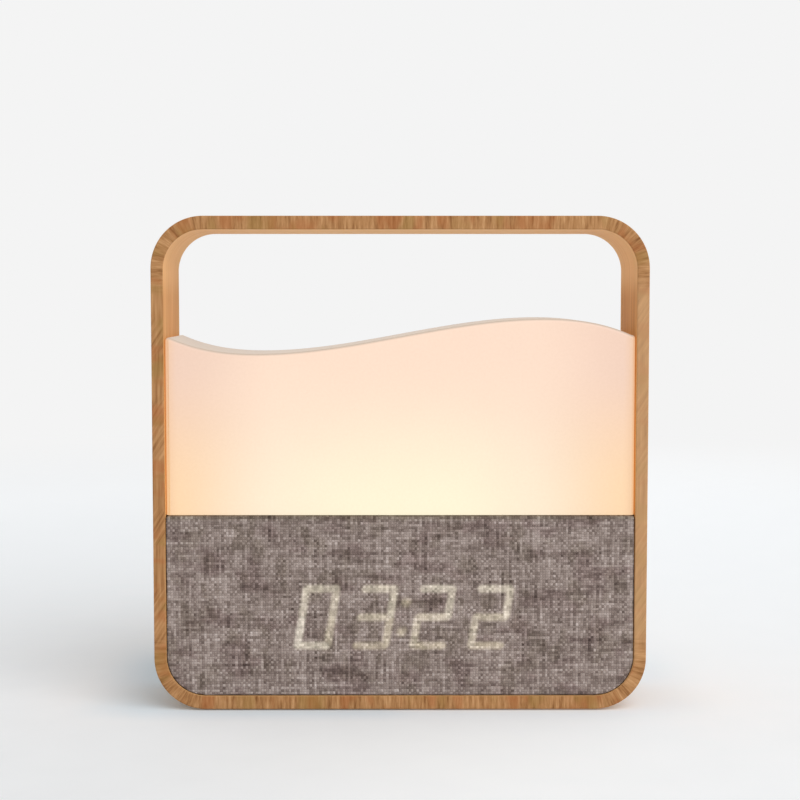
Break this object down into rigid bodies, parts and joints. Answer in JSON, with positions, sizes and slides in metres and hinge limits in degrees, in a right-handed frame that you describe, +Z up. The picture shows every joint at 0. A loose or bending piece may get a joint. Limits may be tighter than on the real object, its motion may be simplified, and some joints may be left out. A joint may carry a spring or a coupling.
{
  "type": "alarm clock",
  "caption": "Bedside alarm clock and night light: wooden hoop handle, glowing wavy-topped shade, linen front with digits shining through, rear buttons.",
  "frame": {"origin": "on the ground under the middle of the hoop", "axes": "+X to the right seen from the front, -Y out of the front, +Z up"},
  "size_m": [0.2, 0.048, 0.2005],
  "materials": {
    "wood": "pale oak veneer over bent ply, clear satin finish",
    "feet": "black rubber",
    "housing": "fine-textured black moulding",
    "cloth": "grey-brown melange linen",
    "shade": "milk-white diffusing plastic, lit from below",
    "white_board": "white solder-masked board",
    "lamp_light": "warm white light source",
    "white_plastic": "white reflective moulding",
    "film": "frosted light film",
    "board": "green solder-masked board",
    "digit_light": "pale warm light source",
    "foam": "closed-cell foam",
    "chips": "black moulded component",
    "steel": "plated steel",
    "cell_wrap": "blue heat-shrink wrap",
    "lead": "red insulated wire",
    "ribbon": "flat flexible ribbon",
    "screws": "black zinc plated steel",
    "buttons": "satin dark grey moulding",
    "magnet": "sintered magnet",
    "spider": "resin-dipped cloth",
    "copper": "wound copper",
    "cone": "pressed black paper",
    "surround": "soft black rubber"
  },
  "bodies": {
    "housing": {"wood_frame": "wood", "rubber_feet": "feet", "chassis": "housing", "front_baffle": "housing", "front_fabric": "cloth", "rear_cover": "housing", "lamp_shade": "shade", "lamp_board": "white_board", "lamp_leds": "lamp_light", "lamp_reflector": "white_plastic", "digit_lightbox": "white_plastic", "display_film": "film", "display_board": "board", "display_leds": "digit_light", "speaker_gaskets": "foam", "main_board": "board", "board_parts": "chips", "usb_c_socket": "steel", "usb_c_tongue": "chips", "battery_cell": "cell_wrap", "switch_bodies": "chips", "lamp_lead": "lead", "speaker_leads": "lead", "battery_lead": "lead", "display_ribbon": "ribbon", "frame_screws": "screws", "case_screws": "screws", "panel_screws": "screws", "board_screws": "screws", "display_screws": "screws", "lamp_screws": "screws", "basket_left": "housing", "top_plate_left": "steel", "magnet_left": "magnet", "pole_yoke_left": "steel", "spider_left": "spider", "surround_left": "surround", "basket_right": "housing", "top_plate_right": "steel", "magnet_right": "magnet", "pole_yoke_right": "steel", "spider_right": "spider", "surround_right": "surround"},
    "button_set_body": {"button_set": "buttons", "stem_set": "chips"},
    "button_minus_body": {"button_minus": "buttons", "stem_minus": "chips"},
    "button_plus_body": {"button_plus": "buttons", "stem_plus": "chips"},
    "button_alarm_body": {"button_alarm": "buttons", "stem_alarm": "chips"},
    "button_lamp_body": {"button_lamp": "buttons", "stem_lamp": "chips"},
    "cone_left_body": {"cone_left": "cone", "dust_cap_left": "cone", "voice_coil_left": "copper"},
    "cone_right_body": {"cone_right": "cone", "dust_cap_right": "cone", "voice_coil_right": "copper"}
  },
  "joints": [
    {"name": "press_set", "type": "slide", "parent": "housing", "child": "button_set_body", "axis": [0, -1, 0], "range_m": [0, 0.0006], "stiffness_N_per_m": 800},
    {"name": "press_minus", "type": "slide", "parent": "housing", "child": "button_minus_body", "axis": [0, -1, 0], "range_m": [0, 0.0006], "stiffness_N_per_m": 800},
    {"name": "press_plus", "type": "slide", "parent": "housing", "child": "button_plus_body", "axis": [0, -1, 0], "range_m": [0, 0.0006], "stiffness_N_per_m": 800},
    {"name": "press_alarm", "type": "slide", "parent": "housing", "child": "button_alarm_body", "axis": [0, -1, 0], "range_m": [0, 0.0006], "stiffness_N_per_m": 800},
    {"name": "press_lamp", "type": "slide", "parent": "housing", "child": "button_lamp_body", "axis": [0, -1, 0], "range_m": [0, 0.0006], "stiffness_N_per_m": 800},
    {"name": "cone_travel_left", "type": "slide", "parent": "housing", "child": "cone_left_body", "axis": [0, -1, 0], "range_m": [-0.001, 0.001], "stiffness_N_per_m": 1500, "deforming": ["surround_left", "spider_left"]},
    {"name": "cone_travel_right", "type": "slide", "parent": "housing", "child": "cone_right_body", "axis": [0, -1, 0], "range_m": [-0.001, 0.001], "stiffness_N_per_m": 1500, "deforming": ["surround_right", "spider_right"]}
  ]
}
